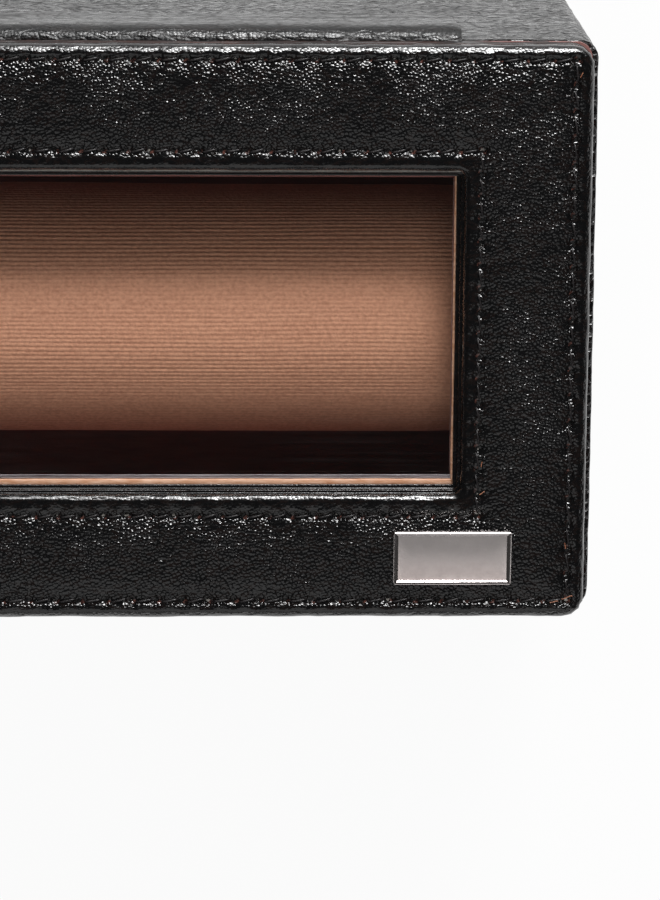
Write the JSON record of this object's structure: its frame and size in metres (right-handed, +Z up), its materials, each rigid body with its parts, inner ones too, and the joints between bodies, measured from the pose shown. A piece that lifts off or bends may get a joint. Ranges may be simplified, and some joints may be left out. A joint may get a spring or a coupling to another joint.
{
  "type": "watch box",
  "caption": "Leather-covered watch box with a window in its hinged lid and one long padded roll for watches, which lies in cradles at its ends.",
  "frame": {"origin": "middle of the face that the box lies on", "axes": "+X along the box to its right end, -Y out of the opening edge, +Y out of the hinged back, +Z up through the lid"},
  "size_m": [0.3, 0.116, 0.0791],
  "materials": {
    "black_leather": "glossy pebbled grain",
    "hinge_leather": "glossy grain, creased along the hinge",
    "tan_leather": "natural cut edge",
    "board": "grey board",
    "brown_lining": "brushed dark brown",
    "ribbed_fabric": "fine lengthwise ribs",
    "foam": "open foam",
    "card_tube": "plain",
    "clear_pane": "clear",
    "badge_metal": "polished",
    "magnet_metal": "plated"
  },
  "bodies": {
    "case": {"base_cover": "black_leather", "base_board": "board", "front_wall": "board", "back_wall": "board", "left_wall": "board", "right_wall": "board", "case_leather": "black_leather", "rim_leather": "black_leather", "floor_lining": "brown_lining", "front_lining": "brown_lining", "back_lining": "brown_lining", "left_lining": "brown_lining", "right_lining": "brown_lining", "left_cradle": "brown_lining", "right_cradle": "brown_lining", "case_magnets": "magnet_metal", "hinge_leaf_case": "hinge_leather", "hinge_fold": "hinge_leather"},
    "lid": {"hinge_leaf_lid": "hinge_leather", "lid_leather": "black_leather", "lid_board": "board", "window_liner": "tan_leather", "window_pane": "clear_pane", "lid_backing": "board", "lid_lining": "brown_lining", "lid_magnets": "magnet_metal", "badge_plate": "badge_metal", "badge_pins": "badge_metal"},
    "roll": {"roll_core": "card_tube", "roll_padding": "foam", "roll_cover": "ribbed_fabric", "roll_cap_left": "brown_lining", "roll_cap_right": "brown_lining"}
  },
  "joints": [
    {"name": "lid_hinge", "type": "hinge", "parent": "case", "child": "lid", "pos_m": [0, 0.058, 0.0713], "axis": [-1, 0, 0], "range_deg": [0, 175], "deforming": ["hinge_fold"]},
    {"name": "roll_spin", "type": "hinge", "parent": "case", "child": "roll", "pos_m": [0, -0.0023, 0.0395], "axis": [1, 0, 0], "continuous": true}
  ]
}
